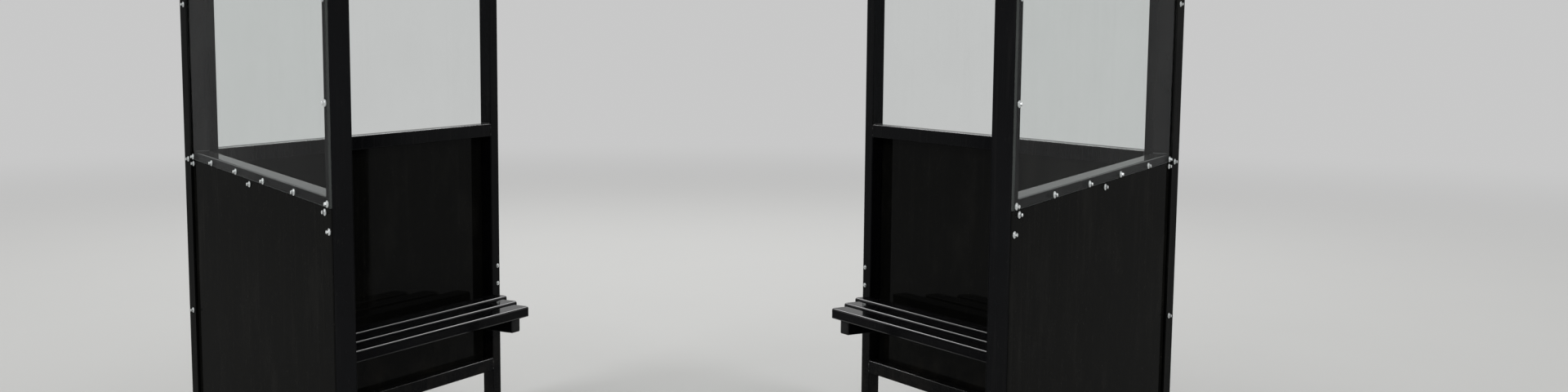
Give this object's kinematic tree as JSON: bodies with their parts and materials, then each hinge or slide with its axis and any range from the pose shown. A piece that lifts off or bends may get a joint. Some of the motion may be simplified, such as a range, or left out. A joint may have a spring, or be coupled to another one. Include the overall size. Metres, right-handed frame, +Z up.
{
  "type": "smoking shelter",
  "caption": "Hexagonal open-sided smoking shelter with black square-tube wall frames, gloss black lower panels, clear upper sheets, slatted benches and a low hipped roof.",
  "frame": {"origin": "centre of the hexagon on the ground", "axes": "+Z up; the open front faces -Y and the open rear faces +Y; +X is to the right of a person who faces the open front"},
  "size_m": [3.239, 2.858, 2.5078],
  "materials": {
    "frame_black": "satin",
    "panel_black": "gloss",
    "cover_black": "gloss",
    "slat_black": "gloss",
    "clear_sheet": "clear gloss",
    "zinc_steel": "bright zinc"
  },
  "bodies": {
    "root": {"post_front_left_end": "frame_black", "post_front_left_corner": "frame_black", "rail_bottom_front_left": "frame_black", "rail_middle_front_left": "frame_black", "rail_top_front_left": "frame_black", "panel_lower_front_left": "panel_black", "sheet_upper_front_left": "clear_sheet", "post_rear_left_end": "frame_black", "post_rear_left_corner": "frame_black", "rail_bottom_rear_left": "frame_black", "rail_middle_rear_left": "frame_black", "rail_top_rear_left": "frame_black", "panel_lower_rear_left": "panel_black", "sheet_upper_rear_left": "clear_sheet", "post_front_right_end": "frame_black", "post_front_right_corner": "frame_black", "rail_bottom_front_right": "frame_black", "rail_middle_front_right": "frame_black", "rail_top_front_right": "frame_black", "panel_lower_front_right": "panel_black", "sheet_upper_front_right": "clear_sheet", "post_rear_right_end": "frame_black", "post_rear_right_corner": "frame_black", "rail_bottom_rear_right": "frame_black", "rail_middle_rear_right": "frame_black", "rail_top_rear_right": "frame_black", "panel_lower_rear_right": "panel_black", "sheet_upper_rear_right": "clear_sheet", "corner_cover_left": "cover_black", "bench_slats_left": "slat_black", "bench_bearers_left": "frame_black", "bench_rail_left": "frame_black", "corner_cover_right": "cover_black", "bench_slats_right": "slat_black", "bench_bearers_right": "frame_black", "bench_rail_right": "frame_black", "eaves_beam_front": "frame_black", "eaves_beam_front_left": "frame_black", "eaves_beam_rear_left": "frame_black", "eaves_beam_rear": "frame_black", "eaves_beam_rear_right": "frame_black", "eaves_beam_front_right": "frame_black", "hip_rafters": "frame_black", "roof_hub": "frame_black", "roof_sheets": "clear_sheet", "hip_covers": "cover_black", "roof_cap": "cover_black", "base_plates": "frame_black"}
  },
  "joints": []
}
